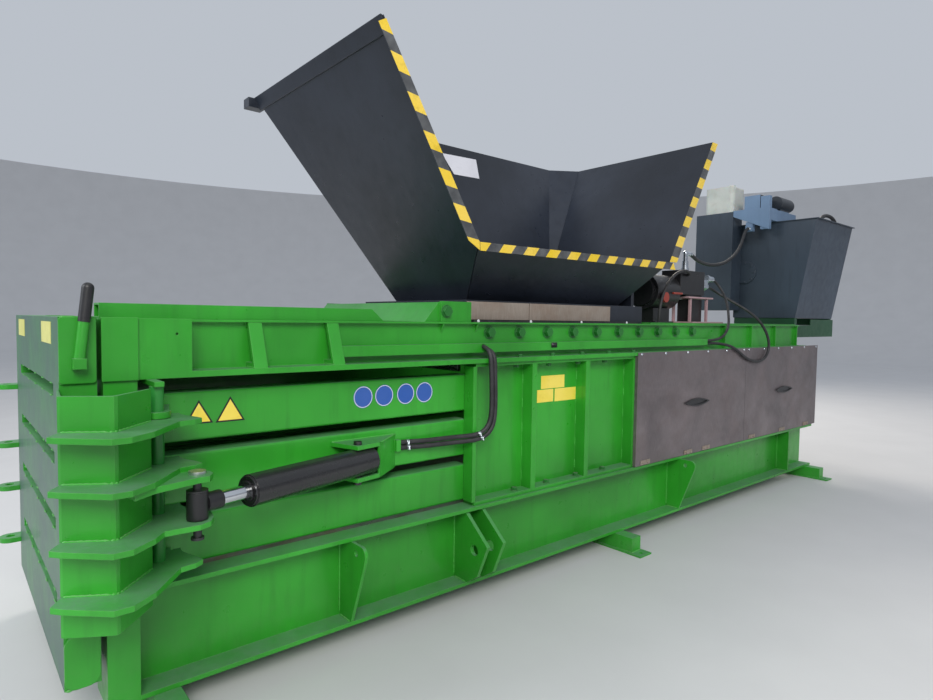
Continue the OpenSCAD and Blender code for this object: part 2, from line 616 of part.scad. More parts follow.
// ---- pressing ram, drawn back under the rear cover
rf = 3812;
module ram_box() {
    c = chamber;
    color([0.30, 0.31, 0.33]) {
        box3(rf + 24, rf + 64, c[0] + 4, c[1] - 4, 570, 1285);
        box3(rf + 64, rf + ram_len, c[0] + 4, c[1] - 4, 1265, 1285);
        box3(rf + 64, rf + ram_len, c[0] + 4, c[1] - 4, 570, 590);
        for (y = [c[0] + 4, c[1] - 24]) box3(rf + 64, rf + ram_len, y, y + 20, 590, 1265);
        box3(rf + 64, rf + 264, y0 - 90, y0 + 90, 850, 1050);
    }
}
module ram_knife() { color([0.36, 0.37, 0.39]) box3(rf, rf + 24, chamber[0] + 6, chamber[1] - 6, 1225, 1289); }
module ram_rod() {
    color([0.75, 0.76, 0.78]) {
        rod_x(rf + 264, 6400, y0, 950, main_rod_d);
        rod_x(6400, 6490, y0, 950, main_d - 40 - 2 * run_c);
    }
}

// ---- hoses
gate_a = [[1500.5, 85, 952], [1520, 85, 952], [1560, 79, 951], [1610, 70, 949], [1680, 60, 948], [1780, 52, 948], [1880, 28, 950], [1950, 4, 952], [2006, -10, 968], [2044, -16, 1012], [2056, -17, 1080], [2056, -17, 1170], [2052, -17, 1260], [2049, -17, 1336], [2047, -15, 1388], [2046, 0, 1422], [2046, 24, 1438], [2046, 50, 1444]];
gate_b = [[1500.5, 85, 924], [1520, 85, 924], [1560, 79, 923], [1610, 70, 921], [1680, 60, 920], [1780, 52, 920], [1880, 28, 922], [1960, 4, 924], [2032, -10, 944], [2072, -16, 996], [2084, -17, 1070], [2084, -17, 1170], [2080, -17, 1260], [2077, -17, 1330], [2074, -15, 1382], [2074, 0, 1408], [2074, 24, 1424], [2074, 50, 1428]];
feed = [[4720.5, 330, 2196], [4738, 330, 2196], [4852.4, 353, 2164.1], [4980.4, 375.2, 2147.7], [5112.1, 398.1, 2139.8], [5247.9, 421.7, 2141], [5416.3, 451, 2153.9], [5591.4, 481.5, 2177.1], [5772.5, 512.9, 2221.3], [5928, 540, 2274.9], [6070.8, 564.8, 2344.5], [6183.2, 584.3, 2418.2], [6345, 628, 2575], [6388, 629, 2608], [6416, 629, 2624], [6439.5, 629, 2624]];
drop = [[5060.5, 300, 1990], [5082, 300, 1990], [5108, 298, 1979], [5132, 290, 1961], [5148, 276, 1935], [5152, 256, 1903], [5144, 230, 1867], [5122, 200, 1828], [5088, 166, 1784], [5040, 128, 1732], [4990, 96, 1678], [4936, 62, 1616], [4880, 38, 1558], [4820, 28, 1508], [4760, 30, 1474], [4700, 44, 1454], [4630, 60, 1449], [4560.5, 66, 1446]];
loop = [[5110.5, 380, 1930], [5134, 380, 1930], [5166, 374, 1920], [5200, 356, 1900], [5232, 326, 1872], [5268, 272, 1832], [5306, 196, 1780], [5352, 116, 1724], [5408, 54, 1662], [5474, 14, 1588], [5530, -10, 1500], [5552, -23, 1410], [5536, -24, 1336], [5476, -24, 1280], [5390, -24, 1254], [5290, -24, 1250], [5180, -24, 1266], [5070, -24, 1300], [4980, -24, 1340], [4910, -24, 1369], [4840, -20, 1396], [4770, 2, 1414], [4700, 40, 1423], [4640, 70, 1425], [4600, 82, 1424.5], [4560.5, 86, 1424]];
arc = [[4560, 259.4, 2000], [4560, 246, 2000], [4557, 234, 2004], [4550, 230, 2009], [4526, 218, 2019], [4480, 212, 2028], [4420, 210, 2028], [4340, 212, 2008], [4264, 213, 1966], [4190, 214, 1900], [4138, 216, 1824], [4110, 219, 1746], [4102, 223, 1680], [4102, 225, 1636], [4102, 226, 1593.5]];
module gate_hose_upper() { color(black) hose(gate_a, 26, 8); }
module gate_hose_lower() { color(black) hose(gate_b, 26, 8); }
module feed_hose() { color(black) hose(feed, hose_d); }
module drop_hose() { color(black) hose(drop, 22, 8); }
module loop_hose() { color(black) hose(loop, 24, 8); }
module arc_hose() { color(black) hose(arc, 24, 8); }

module place() { translate([-x0, -y0, 0]) children(); }
place() base_beams();
place() base_plates();
place() cross_feet();
place() end_posts();
place() chamber_floor();
place() side_slats();
place() side_panels();
place() frame_bolts();
place() top_rails();
place() roof_plates();
place() roof_beams();
place() knife_beam();
place() shear_knife();
place() cable_duct();
place() hopper_left_wall();
place() hopper_right_wall();
place() hopper_back_wall();
place() hopper_front_panel();
place() hopper_rim();
place() throat_collar();
place() throat_strips();
place() throat_seal();
place() hazard_tape();
place() yellow_plates();
place() gate_plates();
place() safety_discs();
place() hopper_sign();
place() rear_covers();
place() cover_handles();
place() rear_frame();
place() oil_tank();
place() tank_covers();
place() pump_unit();
place() plastic_tank();
place() valve_stand();
place() valve_block();
place() valve_fittings();
place() main_cylinder();
place() hinge_arms();
place() hinge_column();
place() hinge_pin();
place() hinge_brackets();
place() gate_frame();
place() gate_side_plates();
place() gate_lock_plates();
place() lever_tube();
place() lever_grip();
place() eye_pin();
place() gate_barrel();
place() gate_gland();
place() gate_rod();
place() ram_box();
place() ram_knife();
place() ram_rod();
place() gate_hose_upper();
place() gate_hose_lower();
place() feed_hose();
place() drop_hose();
place() loop_hose();
place() arc_hose();
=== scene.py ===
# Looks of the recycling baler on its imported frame. Metres, row frame.
import bpy, bmesh, math, json, random
from mathutils import Vector, Matrix


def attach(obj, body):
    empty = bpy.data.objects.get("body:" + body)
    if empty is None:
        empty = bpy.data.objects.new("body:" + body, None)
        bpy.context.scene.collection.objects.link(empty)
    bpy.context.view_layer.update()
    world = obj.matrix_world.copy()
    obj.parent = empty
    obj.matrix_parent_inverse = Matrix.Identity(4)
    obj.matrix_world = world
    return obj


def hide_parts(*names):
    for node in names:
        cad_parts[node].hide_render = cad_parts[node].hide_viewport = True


random.seed(7)
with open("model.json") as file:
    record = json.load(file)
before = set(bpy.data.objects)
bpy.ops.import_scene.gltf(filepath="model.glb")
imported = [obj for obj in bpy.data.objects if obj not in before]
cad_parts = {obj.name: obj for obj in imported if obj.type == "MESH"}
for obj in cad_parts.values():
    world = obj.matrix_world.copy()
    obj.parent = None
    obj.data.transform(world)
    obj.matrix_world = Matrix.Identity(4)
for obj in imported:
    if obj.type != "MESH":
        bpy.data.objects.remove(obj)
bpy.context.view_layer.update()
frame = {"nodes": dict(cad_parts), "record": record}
nodes = frame["nodes"]
sc = bpy.context.scene


def W(x, y, z):
    """From millimetres at the gate's near corner to metres in the row frame."""
    return Vector(((x - 3325) / 1000, (y - 740) / 1000, z / 1000))


# ------------------------------------------------------------------ camera and light
yaw, pitch, roll = math.radians(49.49), math.radians(2.87), math.radians(0.81)
f = Vector((math.cos(yaw) * math.cos(pitch), math.sin(yaw) * math.cos(pitch), -math.sin(pitch)))
r = Vector((math.sin(yaw), -math.cos(yaw), 0))
u = r.cross(f)
right = r * math.cos(roll) + u * math.sin(roll)
up = u * math.cos(roll) - r * math.sin(roll)
cam = bpy.data.objects.new("camera", bpy.data.cameras.new("camera"))
sc.collection.objects.link(cam)
cam.matrix_world = Matrix(((right.x, up.x, -f.x, -3.645), (right.y, up.y, -f.y, -3.312), (right.z, up.z, -f.z, 1.6), (0, 0, 0, 1)))
cam.data.sensor_width = 36
cam.data.lens = 36 * 620.2 / 933
cam.data.clip_end = 200
sc.camera = cam

world = bpy.data.worlds.new("studio")
sc.world = world
world.use_nodes = True
world.node_tree.nodes["Background"].inputs[0].default_value = (0.80, 0.86, 0.95, 1)
world.node_tree.nodes["Background"].inputs[1].default_value = 0.62


def area(name, at, to, size, power, colour=(1, 1, 1)):
    l = bpy.data.lights.new(name, "AREA")
    l.energy, l.size, l.color = power, size, colour
    o = bpy.data.objects.new(name, l)
    o.location = at
    o.rotation_mode = "QUATERNION"
    o.rotation_quaternion = (Vector(to) - Vector(at)).to_track_quat("-Z", "Y")
    sc.collection.objects.link(o)


area("key", (-6.5, -9.0, 7.5), (0, -0.6, 1.0), 5.0, 900, (1.0, 0.97, 0.92))
area("side", (-9.5, 1.5, 5.0), (-3.0, 0, 1.0), 4.0, 300, (0.92, 0.96, 1.0))
area("rim", (7.5, 5.5, 8.0), (1.0, 0, 1.6), 4.0, 700, (1.0, 0.93, 0.82))
sc.view_settings.view_transform = "Standard"
sc.view_settings.exposure = 0.0


# ------------------------------------------------------------------ materials
class G:
    """A small writer for node graphs."""

    def __init__(self, name):
        self.m = bpy.data.materials.new(name)
        self.m.use_nodes = True
        self.t = self.m.node_tree
        self.t.nodes.clear()
        self.out = self.t.nodes.new("ShaderNodeOutputMaterial")
        self.b = self.t.nodes.new("ShaderNodeBsdfPrincipled")
        self.t.links.new(self.b.outputs[0], self.out.inputs[0])
        self.co = self.t.nodes.new("ShaderNodeTexCoord").outputs["Object"]

    def n(self, kind, **kw):
        n = self.t.nodes.new(kind)
        for k, v in kw.items():
            setattr(n, k, v)
        return n

    def put(self, sock, v):
        if isinstance(v, bpy.types.NodeSocket):
            self.t.links.new(v, sock)
        else:
            sock.default_value = v

    def math(self, op, a, b=0.0, clamp=False):
        n = self.n("ShaderNodeMath", operation=op, use_clamp=clamp)
        self.put(n.inputs[0], a)
        self.put(n.inputs[1], b)
        return n.outputs[0]

    def noise(self, scale, detail=3.0, stretch=(1, 1, 1), rough=0.55, at=None, distort=0.0):
        mp = self.n("ShaderNodeMapping")
        self.put(mp.inputs[0], self.co)
        mp.inputs[3].default_value = stretch
        if at:
            mp.inputs[1].default_value = at
        n = self.n("ShaderNodeTexNoise")
        self.put(n.inputs["Vector"], mp.outputs[0])
        n.inputs["Scale"].default_value = scale
        n.inputs["Detail"].default_value = detail
        n.inputs["Roughness"].default_value = rough
        n.inputs["Distortion"].default_value = distort
        return n.outputs[0]

    def ramp(self, v, a, b, lo=0.0, hi=1.0):
        n = self.n("ShaderNodeMapRange", clamp=True)
        self.put(n.inputs[0], v)
        n.inputs[1].default_value, n.inputs[2].default_value = a, b
        n.inputs[3].default_value, n.inputs[4].default_value = lo, hi
        return n.outputs[0]

    def mix(self, fac, a, b):
        n = self.n("ShaderNodeMix", data_type="RGBA")
        self.put(n.inputs[0], fac)
        self.put(n.inputs[6], a if isinstance(a, bpy.types.NodeSocket) else (*a, 1))
        self.put(n.inputs[7], b if isinstance(b, bpy.types.NodeSocket) else (*b, 1))
        return n.outputs[2]

    def up(self):
        g = self.n("ShaderNodeNewGeometry")
        s = self.n("ShaderNodeSeparateXYZ")
        self.put(s.inputs[0], g.outputs["Normal"])
        return s.outputs[2]

    def xyz(self):
        s = self.n("ShaderNodeSeparateXYZ")
        self.put(s.inputs[0], self.co)
        return s.outputs

    def edge(self, radius=0.004):
        """(rounded normal, how much an edge is near)"""
        bv = self.n("ShaderNodeBevel")
        bv.samples = 4
        bv.inputs[0].default_value = radius
        g = self.n("ShaderNodeNewGeometry")
        d = self.n("ShaderNodeVectorMath", operation="DOT_PRODUCT")
        self.put(d.inputs[0], bv.outputs[0])
        self.put(d.inputs[1], g.outputs["True Normal"])
        return bv.outputs[0], self.ramp(d.outputs["Value"], 0.995, 0.85)

    def bump(self, height, strength, dist=0.002, normal=None):
        n = self.n("ShaderNodeBump")
        n.inputs["Strength"].default_value = strength
        n.inputs["Distance"].default_value = dist
        self.put(n.inputs["Height"], height)
        if normal is not None:
            self.put(n.inputs["Normal"], normal)
        return n.outputs[0]

    def done(self, colour, rough, normal=None, metal=0.0, spec=0.5, coat=0.0, sub=0.0):
        self.put(self.b.inputs["Base Color"], colour if isinstance(colour, bpy.types.NodeSocket) else (*colour, 1))
        self.put(self.b.inputs["Roughness"], rough)
        self.b.inputs["Metallic"].default_value = metal
        self.b.inputs["Specular IOR Level"].default_value = spec
        self.b.inputs["Coat Weight"].default_value = coat
        self.b.inputs["Subsurface Weight"].default_value = sub
        if normal is not None:
            self.put(self.b.inputs["Normal"], normal)
        return self.m


def paint(name, base, rough=0.38, dust=0.5, dustc=(0.30, 0.31, 0.27), var=0.22, peel=0.10, edge=0.35, mud=0.3, edge_highlight=None, coat=0.0, streak=0.12, bev=0.004):
    g = G(name)
    dark = tuple(c * (1 - var) for c in base)
    pale = tuple(min(1, c * (1 + var) + 0.004) for c in base)
    big = g.noise(0.9, 4, at=(3.1, 0.7, 1.9))
    c = g.mix(g.ramp(big, 0.35, 0.66), dark, pale)
    # run marks down upright faces
    st = g.ramp(g.noise(7.0, 4, stretch=(3.0, 3.0, 0.35), at=(1, 5, 2)), 0.52, 0.74, 0, streak)
    c = g.mix(st, c, tuple(x * 0.55 for x in base))
    # fine overspray specks
    sp = g.ramp(g.noise(240, 2), 0.64, 0.72, 0, 0.25)
    c = g.mix(sp, c, pale)
    # the bevel finds the edges, which are then mixed toward a lighter colour by the amount edge: a painted highlight
    # along every edge
    normal, near = g.edge(bev)
    c = g.mix(g.math("MULTIPLY", near, edge), c, edge_highlight or tuple(min(1, x * 1.5 + 0.05) for x in base))
    # dust on what faces up, patchy
    up = g.ramp(g.up(), 0.55, 0.98)
    patch = g.ramp(g.noise(5.5, 6, rough=0.65), 0.33, 0.62, 0.45, 1.0)
    grit = g.ramp(g.noise(110, 3), 0.35, 0.7, 0.7, 1.0)
    d = g.math("MULTIPLY", g.math("MULTIPLY", up, patch), g.math("MULTIPLY", grit, dust))
    c = g.mix(d, c, dustc)
    # splashes near the ground
    z = g.xyz()[2]
    low = g.ramp(z, 0.42, 0.02)
    m = g.math("MULTIPLY", g.math("MULTIPLY", low, g.ramp(g.noise(16, 6), 0.42, 0.66)), mud)
    c = g.mix(m, c, (0.20, 0.19, 0.16))
    rg = g.ramp(g.noise(14, 5), 0.3, 0.7, rough - 0.07, rough + 0.09)
    rg = g.math("ADD", rg, g.math("MULTIPLY", d, 0.45), clamp=True)
    h = g.math("ADD", g.math("MULTIPLY", g.noise(95, 2), 1.0), g.math("MULTIPLY", g.noise(6, 2), 2.0))
    return g.done(c, rg, g.bump(h, peel, 0.0025, normal), 0.0, 0.5, coat)


def steel(name, a, b, rough=0.38, grain=(1, 1, 1), rust=0.0, metal=0.85, scratch=0.3, rustc=(0.22, 0.09, 0.035), bev=0.002):
    g = G(name)
    c = g.mix(g.ramp(g.noise(2.2, 6, distort=0.6), 0.32, 0.68), a, b)
    br = g.noise(55, 4, stretch=grain)
    c = g.mix(g.ramp(br, 0.45, 0.75, 0, scratch), c, tuple(min(1, x * 1.6) for x in b))
    if rust:
        rs = g.math("MULTIPLY", g.ramp(g.noise(4.5, 8, rough=0.7), 0.46, 0.66), rust)
        c = g.mix(rs, c, rustc)
    normal, near = g.edge(bev)
    rg = g.ramp(g.noise(6, 6), 0.3, 0.7, rough - 0.1, rough + 0.14)
    return g.done(c, rg, g.bump(br, 0.12, 0.001, normal), metal)


def rubber(name, base=(0.018, 0.018, 0.02), rough=0.55, wrap=0.0, dusty=0.25):
    g = G(name)
    c = g.mix(g.ramp(g.noise(18, 5), 0.4, 0.7), base, tuple(x * 1.9 for x in base))
    up = g.ramp(g.up(), 0.3, 1.0, 0, dusty)
    c = g.mix(g.math("MULTIPLY", up, g.ramp(g.noise(30, 4), 0.35, 0.65)), c, (0.16, 0.155, 0.14))
    return g.done(c, rough, g.bump(g.noise(420, 2, stretch=(1, 1, 1)), 0.25, 0.0008), 0.0)


M = {}
GREEN = (0.024, 0.300, 0.018)
M["green_paint"] = paint("green_paint", GREEN, 0.34, mud=0.08, dust=0.66, dustc=(0.17, 0.27, 0.22), coat=0.12, edge_highlight=(0.16, 0.50, 0.13), streak=0.3, var=0.28)
M["green_flat"] = paint("green_flat", (0.034, 0.34, 0.026), 0.40, dust=0.6, coat=0.1)
M["dark_green_paint"] = paint("dark_green_paint", (0.008, 0.065, 0.024), 0.45, dust=0.5)
M["black_paint"] = paint("black_paint", (0.016, 0.021, 0.033), 0.34, dust=0.35, dustc=(0.08, 0.09, 0.11), var=0.35, edge_highlight=(0.07, 0.075, 0.09), streak=0.35, edge=0.5, mud=0)
M["tank_paint"] = paint("tank_paint", (0.038, 0.055, 0.080), 0.42, dust=0.4, dustc=(0.16, 0.17, 0.18), streak=0.4, edge_highlight=(0.16, 0.18, 0.21), mud=0)
M["blue_grey_paint"] = paint("blue_grey_paint", (0.15, 0.24, 0.38), 0.45, dust=0.4, mud=0)
M["primer_paint"] = paint("primer_paint", (0.42, 0.27, 0.29), 0.6, dust=0.3, mud=0)
M["valve_black"] = paint("valve_black", (0.012, 0.012, 0.014), 0.33, dust=0.4, dustc=(0.10, 0.10, 0.10), edge_highlight=(0.10, 0.10, 0.11), mud=0)
M["cylinder_black"] = paint("cylinder_black", (0.008, 0.008, 0.009), 0.25, dust=0.35, dustc=(0.07, 0.07, 0.07), var=0.3, edge_highlight=(0.09, 0.09, 0.1), coat=0.4, mud=0, peel=0.16)
M["bolt_green"] = paint("bolt_green", (0.012, 0.15, 0.018), 0.4, dust=0.5, edge_highlight=(0.25, 0.5, 0.28), bev=0.002)
M["pin_green"] = paint("pin_green", (0.018, 0.22, 0.03), 0.35, dust=0.4)
M["bare_sheet"] = steel("bare_sheet", (0.15, 0.13, 0.135), (0.25, 0.215, 0.22), 0.42, (6, 1, 0.35), rust=0.22, metal=0.6, rustc=(0.16, 0.10, 0.09))
M["bare_strip"] = steel("bare_strip", (0.30, 0.25, 0.205), (0.40, 0.34, 0.29), 0.5, (5, 1, 0.3), rust=0.35, metal=0.5, rustc=(0.25, 0.14, 0.09))
M["worn_steel"] = steel("worn_steel", (0.16, 0.155, 0.15), (0.34, 0.33, 0.32), 0.36, (0.1, 3, 3), rust=0.5, metal=0.85)
M["knife_steel"] = steel("knife_steel", (0.32, 0.33, 0.35), (0.48, 0.49, 0.51), 0.28, (0.2, 4, 4), rust=0.1)
M["zinc_fitting"] = steel("zinc_fitting", (0.42, 0.47, 0.53), (0.62, 0.66, 0.70), 0.26, (1, 1, 1), metal=0.95)
M["chrome_rod"] = steel("chrome_rod", (0.62, 0.64, 0.67), (0.72, 0.74, 0.77), 0.13, (1, 1, 1), metal=1.0, scratch=0.1)
M["pin_steel"] = steel("pin_steel", (0.48, 0.49, 0.52), (0.62, 0.63, 0.65), 0.3, (1, 1, 1), metal=0.9)


def darken(m, mask_of, colour, rough):
    """Paint a part of a steel material dark where the mask is 1."""
    t = m.node_tree
    b = next(n for n in t.nodes if n.type == "BSDF_PRINCIPLED")
    g = G.__new__(G)
    g.m, g.t, g.b = m, t, b
    g.co = next(n for n in t.nodes if n.type == "TEX_COORD").outputs["Object"]
    k = mask_of(g)
    old = b.inputs["Base Color"].links[0].from_socket
    old_r = b.inputs["Roughness"].links[0].from_socket
    g.put(b.inputs["Base Color"], g.mix(k, old, colour))
    g.put(b.inputs["Roughness"], g.math("ADD", g.math("MULTIPLY", old_r, g.math("SUBTRACT", 1.0, k)), g.math("MULTIPLY", k, rough)))
    if b.inputs["Metallic"].default_value:
        g.put(b.inputs["Metallic"], g.ramp(k, 0.0, 1.0, b.inputs["Metallic"].default_value, 0.0))


EYE = W(390, -240, 0)


def near_eye(g):
    x, y, z = g.xyz()
    a = g.math("MULTIPLY", g.math("SUBTRACT", x, EYE.x), 0.96467)
    return g.math("LESS_THAN", g.math("ADD", a, g.math("MULTIPLY", g.math("SUBTRACT", y, EYE.y), 0.26353)), 0.0935)


darken(M["chrome_rod"], near_eye, (0.014, 0.014, 0.016), 0.38)

def inside(g, x0, x1, y0, y1, z0, z1):
    """1 inside a box given in millimetres."""
    x, y, z = g.xyz()
    a, b = W(x0, y0, z0), W(x1, y1, z1)
    k = g.math("MULTIPLY", g.math("GREATER_THAN", x, a.x), g.math("LESS_THAN", x, b.x))
    k = g.math("MULTIPLY", k, g.math("MULTIPLY", g.math("GREATER_THAN", y, a.y), g.math("LESS_THAN", y, b.y)))
    return g.math("MULTIPLY", k, g.math("MULTIPLY", g.math("GREATER_THAN", z, a.z), g.math("LESS_THAN", z, b.z)))


# the pump box and the motor are black, and so is the tank's hidden cabinet
darken(M["blue_grey_paint"], lambda g: g.math("MAXIMUM", inside(g, 6449, 6645, 511, 700, 2838.5, 3000), inside(g, 6745, 7200, 400, 600, 2845, 3100)), (0.016, 0.022, 0.032), 0.4)
darken(M["zinc_fitting"], lambda g: inside(g, 4100, 4466, 200, 256, 1700, 1900), (0.30, 0.045, 0.030), 0.45)
darken(M["pin_steel"], lambda g: g.math("LESS_THAN", g.xyz()[2], 1.0), (0.03, 0.03, 0.033), 0.4)
M["hose_rubber"] = rubber("hose_rubber")
M["grip_rubber"] = rubber("grip_rubber", (0.012, 0.012, 0.014), 0.42)
M["black_handle"] = rubber("black_handle", (0.010, 0.010, 0.012), 0.35)


def film(name, base, rough=0.42, fade=0.12, dirt=0.2):
    g = G(name)
    c = g.mix(g.ramp(g.noise(3, 5), 0.35, 0.65), base, tuple(min(1, x + fade) for x in base))
    c = g.mix(g.ramp(g.noise(22, 6), 0.55, 0.75, 0, dirt), c, tuple(x * 0.45 for x in base))
    return g, c, rough


g, c, q = film("yellow_film", (0.86, 0.66, 0.012), dirt=0.15)
x, y, z = g.xyz()


def tri_in(g, x, z, xc, z0, a, m):
    """1 inside a triangle that is m smaller on each side."""
    dx = g.math("ABSOLUTE", g.math("SUBTRACT", x, xc))
    low = g.math("GREATER_THAN", z, z0 + m)
    side = g.math("ADD", g.math("MULTIPLY", dx, 0.8660), g.math("MULTIPLY", g.math("SUBTRACT", z, z0), 0.5))
    return g.math("MULTIPLY", low, g.math("LESS_THAN", side, a / 2 * 0.8660 - m))


inner = 1.0
masks = []
for xc, z0, a in ((502, 1148, 115), (632, 1146, 125)):
    X = W(xc, 0, 0).x
    ins = tri_in(g, x, z, X, z0 / 1000, a / 1000, 0.0065)
    near = g.math("LESS_THAN", g.math("ABSOLUTE", g.math("SUBTRACT", x, X)), 0.064)
    masks.append(g.math("MULTIPLY", near, g.math("SUBTRACT", 1.0, ins)))
border = masks[0]
for mk in masks[1:]:
    border = g.math("MAXIMUM", border, mk)
c = g.mix(border, c, (0.012, 0.012, 0.012))
M["yellow_film"] = g.done(c, q, g.bump(g.noise(40, 3), 0.08, 0.001))
g, c, q = film("pale_film", (0.62, 0.60, 0.13), fade=0.1, dirt=0.35)
M["pale_film"] = g.done(c, q)
g, c, q = film("white_film", (0.70, 0.70, 0.76), fade=0.06, dirt=0.12)
M["white_film"] = g.done(c, q)
# blue discs with a thin white rim
g, c, q = film("blue_film", (0.020, 0.100, 0.42), fade=0.02, dirt=0.1)
x, y, z = g.xyz()
white = None
for i, xc in enumerate((1289, 1413, 1546, 1668)):
    dx = g.math("SUBTRACT", x, W(xc, 0, 0).x)
    dz = g.math("SUBTRACT", z, 1.203)
    rr = g.math("SQRT", g.math("ADD", g.math("MULTIPLY", dx, dx), g.math("MULTIPLY", dz, dz)))
    ring = g.math("MULTIPLY", g.math("GREATER_THAN", rr, 0.0495), g.math("LESS_THAN", rr, 0.0530))
    m = ring
    white = m if white is None else g.math("MAXIMUM", white, m)
c = g.mix(white, c, (0.72, 0.75, 0.80))
M["blue_film"] = g.done(c, 0.3, None, 0, 0.5, 0.2)

# striped tape: blocks run along each of the three edges
g, c, q = film("hazard_tape", (0.80, 0.55, 0.02), fade=0.08, dirt=0.35)
x, y, z = g.xyz()


def stripes(ax, az, kx, kz, period, shift):
    v = g.math("ADD", g.math("MULTIPLY", x, ax + kx), g.math("MULTIPLY", z, az + kz))
    v = g.math("FRACT", g.math("ADD", g.math("DIVIDE", v, period), shift))
    return g.math("GREATER_THAN", v, 0.5)


left = stripes(0.5236, -0.852, -0.6816, -0.4189, 0.197, 0.496)
lip = stripes(1.0, 0.0, 0.0, -0.8, 0.1937, 0.023)
rgt = stripes(0.501, 0.865, -0.40, 0.20, 0.1792, 0.266)
is_left = g.math("LESS_THAN", x, W(1951.5, 0, 0).x)
is_lip = g.math("MULTIPLY", g.math("LESS_THAN", z, 2.044), g.math("SUBTRACT", 1.0, is_left))
side = g.math("ADD", g.math("MULTIPLY", is_left, left), g.math("MULTIPLY", g.math("SUBTRACT", 1.0, is_left), rgt))
allv = g.math("ADD", g.math("MULTIPLY", is_lip, lip), g.math("MULTIPLY", g.math("SUBTRACT", 1.0, is_lip), side))
blk = g.mix(g.ramp(g.noise(12, 5), 0.4, 0.7), (0.060, 0.063, 0.068), (0.12, 0.125, 0.13))
c = g.mix(allv, blk, c)
M["hazard_tape"] = g.done(c, 0.38, g.bump(g.noise(60, 3), 0.15, 0.001))
# translucent plastic tank
g = G("white_plastic")
c = g.mix(g.ramp(g.noise(5, 5), 0.35, 0.65), (0.50, 0.53, 0.50), (0.60, 0.62, 0.58))
c = g.mix(g.ramp(g.noise(14, 6), 0.5, 0.75, 0, 0.35), c, (0.34, 0.33, 0.28))
M["white_plastic"] = g.done(c, 0.5, g.bump(g.noise(25, 3), 0.2, 0.003), 0, 0.4, 0, 0.15)

# the gate's -X-facing front faces carry a patchy painted shade, greyed like a bloom of dust
shaded_gate_paint = paint("green_gate_painted_shade", GREEN, 0.42, mud=0.08, dust=0.66, dustc=(0.17, 0.27, 0.22), coat=0.08, edge_highlight=(0.12, 0.36, 0.13), streak=0.3, var=0.28)


def front_shade_mask(g):
    geo = g.n("ShaderNodeNewGeometry")
    q = g.n("ShaderNodeSeparateXYZ")
    g.put(q.inputs[0], geo.outputs["True Normal"])
    return g.math("MULTIPLY", g.ramp(q.outputs[0], -0.7, -0.95), g.ramp(g.noise(3.5, 6, rough=0.7), 0.3, 0.62, 0.62, 0.95))


# darkens the faces that point -X toward a grey-green: painted shade
darken(shaded_gate_paint, front_shade_mask, (0.060, 0.110, 0.098), 0.5)
slot_of = {s["node"]: s["material_slot"] for s in frame["record"]["subparts"]}
for name, o in nodes.items():
    m = M[slot_of[name]]
    if not o.data.materials:
        o.data.materials.append(m)
    if name == "gate_frame":
        m = shaded_gate_paint
    for i in range(len(o.data.materials)):
        o.data.materials[i] = m


# ------------------------------------------------------------------ pieces
def mesh_piece(name, bm, mat, body, smooth=True):
    me = bpy.data.meshes.new(name)
    bm.normal_update()
    bm.to_mesh(me)
    bm.free()
    for p in me.polygons:
        p.use_smooth = smooth
    o = bpy.data.objects.new(name, me)
    o.data.materials.append(mat)
    sc.collection.objects.link(o)
    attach(o, body)
    return o


def hose_piece(name, pts, d, node, exit_stiff="medium"):
    cu = bpy.data.curves.new(name, "CURVE")
    cu.dimensions = "3D"
    cu.bevel_depth = d / 2000
    cu.bevel_resolution = 5
    cu.resolution_u = 8
    cu.use_fill_caps = True
    sp = cu.splines.new("NURBS")
    P = [W(*p) for p in pts]
    sp.points.add(len(P) - 1)
    for i, p in enumerate(P):
        sp.points[i].co = (*p, 1)
    sp.order_u = 4
    sp.use_endpoint_u = True
    o = bpy.data.objects.new(name, cu)
    cu.materials.append(M["hose_rubber"])
    sc.collection.objects.link(o)
    # an evaluated copy of the curve without its bevel, turned into a mesh; its length is not computed
    dg = bpy.context.evaluated_depsgraph_get()
    cu2 = cu.copy()
    cu2.bevel_depth = 0
    tmp = bpy.data.objects.new("tmp", cu2)
    sc.collection.objects.link(tmp)
    dg.update()
    me = tmp.evaluated_get(dg).to_mesh()
    bpy.data.objects.remove(tmp)
    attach(o, "frame")
    if node:
        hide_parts(node)
    return o


gate_a = [[1500.5, 85, 952], [1520, 85, 952], [1560, 79, 951], [1610, 70, 949], [1680, 60, 948], [1780, 52, 948], [1880, 28, 950], [1950, 4, 952], [2006, -10, 968], [2044, -16, 1012], [2056, -17, 1080], [2056, -17, 1170], [2052, -17, 1260], [2049, -17, 1336], [2047, -15, 1388], [2046, 0, 1422], [2046, 24, 1438], [2046, 50, 1444]]
gate_b = [[1500.5, 85, 924], [1520, 85, 924], [1560, 79, 923], [1610, 70, 921], [1680, 60, 920], [1780, 52, 920], [1880, 28, 922], [1960, 4, 924], [2032, -10, 944], [2072, -16, 996], [2084, -17, 1070], [2084, -17, 1170], [2080, -17, 1260], [2077, -17, 1330], [2074, -15, 1382], [2074, 0, 1408], [2074, 24, 1424], [2074, 50, 1428]]
feed = [[4720.5, 330, 2196], [4738, 330, 2196], [4852.4, 353.0, 2164.1], [4980.4, 375.2, 2147.7], [5112.1, 398.1, 2139.8], [5247.9, 421.7, 2141.0], [5416.3, 451.0, 2153.9], [5591.4, 481.5, 2177.1], [5772.5, 512.9, 2221.3], [5928.0, 540.0, 2274.9], [6070.8, 564.8, 2344.5], [6183.2, 584.3, 2418.2], [6345, 628, 2575], [6388, 629, 2608], [6416, 629, 2624], [6439.5, 629, 2624]]
drop = [[5060.5, 300, 1990], [5082, 300, 1990], [5108, 298, 1979], [5132, 290, 1961], [5148, 276, 1935], [5152, 256, 1903], [5144, 230, 1867], [5122, 200, 1828], [5088, 166, 1784], [5040, 128, 1732], [4990, 96, 1678], [4936, 62, 1616], [4880, 38, 1558], [4820, 28, 1508], [4760, 30, 1474], [4700, 44, 1454], [4630, 60, 1449], [4560.5, 66, 1446]]
